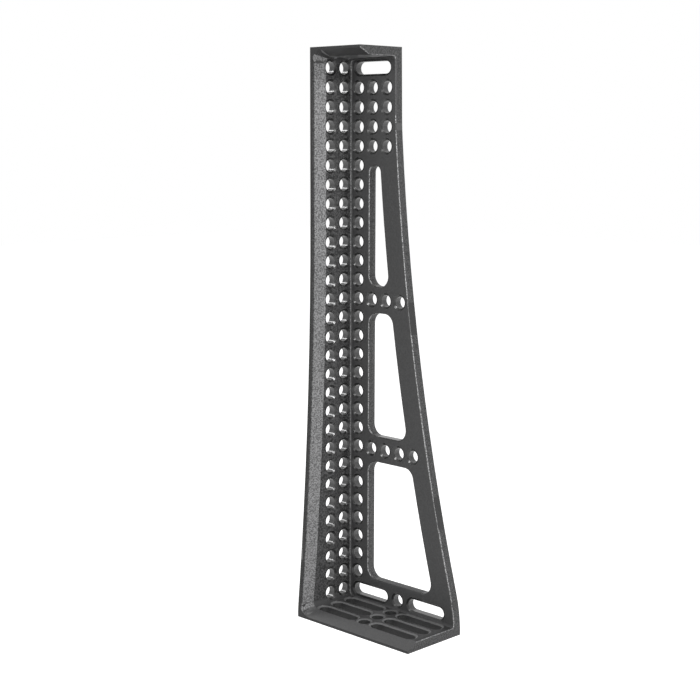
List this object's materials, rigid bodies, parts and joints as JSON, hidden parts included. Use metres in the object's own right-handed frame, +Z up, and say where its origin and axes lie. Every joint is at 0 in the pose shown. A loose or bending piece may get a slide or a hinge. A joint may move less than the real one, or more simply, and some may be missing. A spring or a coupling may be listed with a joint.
{
  "type": "angle plate",
  "caption": "Tall cast iron clamping square: a narrow wall and a tapered side wall at a right angle on a slotted foot, with grids of bolt holes and windows.",
  "frame": {"origin": "on the underside of the foot, under the middle of the object's box", "axes": "+Z up from the foot to the head, +X from the end wall to the foot's free end, +Y towards the side wall's outer face"},
  "size_m": [0.2, 0.1, 0.75],
  "materials": {
    "cast_iron": "dark treated casting, fine grain inside, machined outer faces"
  },
  "bodies": {
    "root": {"angle_plate": "cast_iron"}
  },
  "joints": []
}
